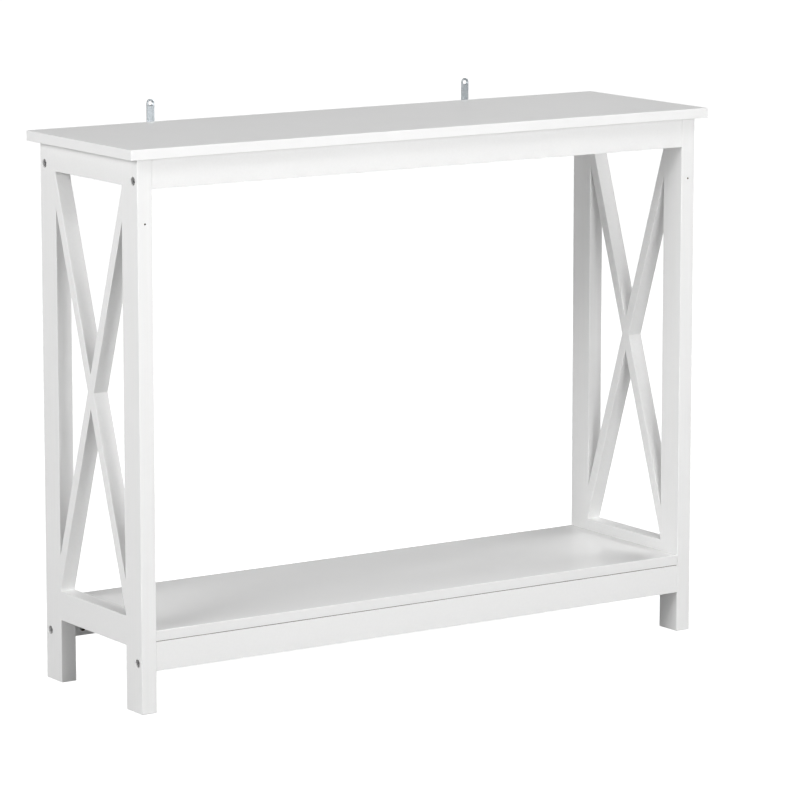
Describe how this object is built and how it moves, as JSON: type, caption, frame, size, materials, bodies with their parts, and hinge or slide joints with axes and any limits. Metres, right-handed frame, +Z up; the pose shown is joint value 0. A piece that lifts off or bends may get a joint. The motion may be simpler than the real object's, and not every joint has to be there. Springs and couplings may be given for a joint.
{
  "type": "console table",
  "caption": "Narrow console table with a thin overhanging top, a lower shelf, end frames with crossed braces, and straps that tie it to a wall.",
  "frame": {"origin": "on the floor, under the middle of the tabletop", "axes": "+Z up, +X along the table to the right-hand end as seen from the front, +Y towards the wall, so the front faces -Y"},
  "size_m": [1, 0.302, 0.836],
  "materials": {
    "white_paint_board": "satin white paint on medium-density fibreboard, smooth flat faces and slightly rounded edges",
    "white_paint_frame": "satin white paint on fibreboard strips, faint seams at the joints and slightly rounded edges",
    "bright_zinc": "bright zinc plating, slightly bluish",
    "dark_zinc": "grey zinc plating, satin",
    "beech": "bare fluted beech dowel"
  },
  "bodies": {
    "root": {"tabletop": "white_paint_board", "lower_shelf": "white_paint_board", "left_front_leg": "white_paint_frame", "left_rear_leg": "white_paint_frame", "left_top_rail": "white_paint_frame", "left_bottom_rail": "white_paint_frame", "left_brace_rising_rearward": "white_paint_frame", "left_brace_rising_forward": "white_paint_frame", "right_front_leg": "white_paint_frame", "right_rear_leg": "white_paint_frame", "right_top_rail": "white_paint_frame", "right_bottom_rail": "white_paint_frame", "right_brace_rising_rearward": "white_paint_frame", "right_brace_rising_forward": "white_paint_frame", "upper_front_apron": "white_paint_frame", "upper_rear_apron": "white_paint_frame", "lower_front_apron": "white_paint_frame", "lower_rear_apron": "white_paint_frame", "frame_bolt_left_front_upper": "dark_zinc", "barrel_nut_left_front_upper": "dark_zinc", "apron_dowel_left_front_upper": "beech", "frame_bolt_left_front_lower": "dark_zinc", "barrel_nut_left_front_lower": "dark_zinc", "apron_dowel_left_front_lower": "beech", "frame_bolt_left_rear_upper": "dark_zinc", "barrel_nut_left_rear_upper": "dark_zinc", "apron_dowel_left_rear_upper": "beech", "frame_bolt_left_rear_lower": "dark_zinc", "barrel_nut_left_rear_lower": "dark_zinc", "apron_dowel_left_rear_lower": "beech", "frame_bolt_right_front_upper": "dark_zinc", "barrel_nut_right_front_upper": "dark_zinc", "apron_dowel_right_front_upper": "beech", "frame_bolt_right_front_lower": "dark_zinc", "barrel_nut_right_front_lower": "dark_zinc", "apron_dowel_right_front_lower": "beech", "frame_bolt_right_rear_upper": "dark_zinc", "barrel_nut_right_rear_upper": "dark_zinc", "apron_dowel_right_rear_upper": "beech", "frame_bolt_right_rear_lower": "dark_zinc", "barrel_nut_right_rear_lower": "dark_zinc", "apron_dowel_right_rear_lower": "beech", "cam_bolt_front_left": "dark_zinc", "cam_lock_front_left": "bright_zinc", "shelf_screw_front_left": "bright_zinc", "cam_bolt_front_right": "dark_zinc", "cam_lock_front_right": "bright_zinc", "shelf_screw_front_right": "bright_zinc", "cam_bolt_rear_left": "dark_zinc", "cam_lock_rear_left": "bright_zinc", "shelf_screw_rear_left": "bright_zinc", "cam_bolt_rear_right": "dark_zinc", "cam_lock_rear_right": "bright_zinc", "shelf_screw_rear_right": "bright_zinc", "wall_bracket_left": "bright_zinc", "bracket_screw_left": "bright_zinc", "wall_bracket_right": "bright_zinc", "bracket_screw_right": "bright_zinc"}
  },
  "joints": []
}
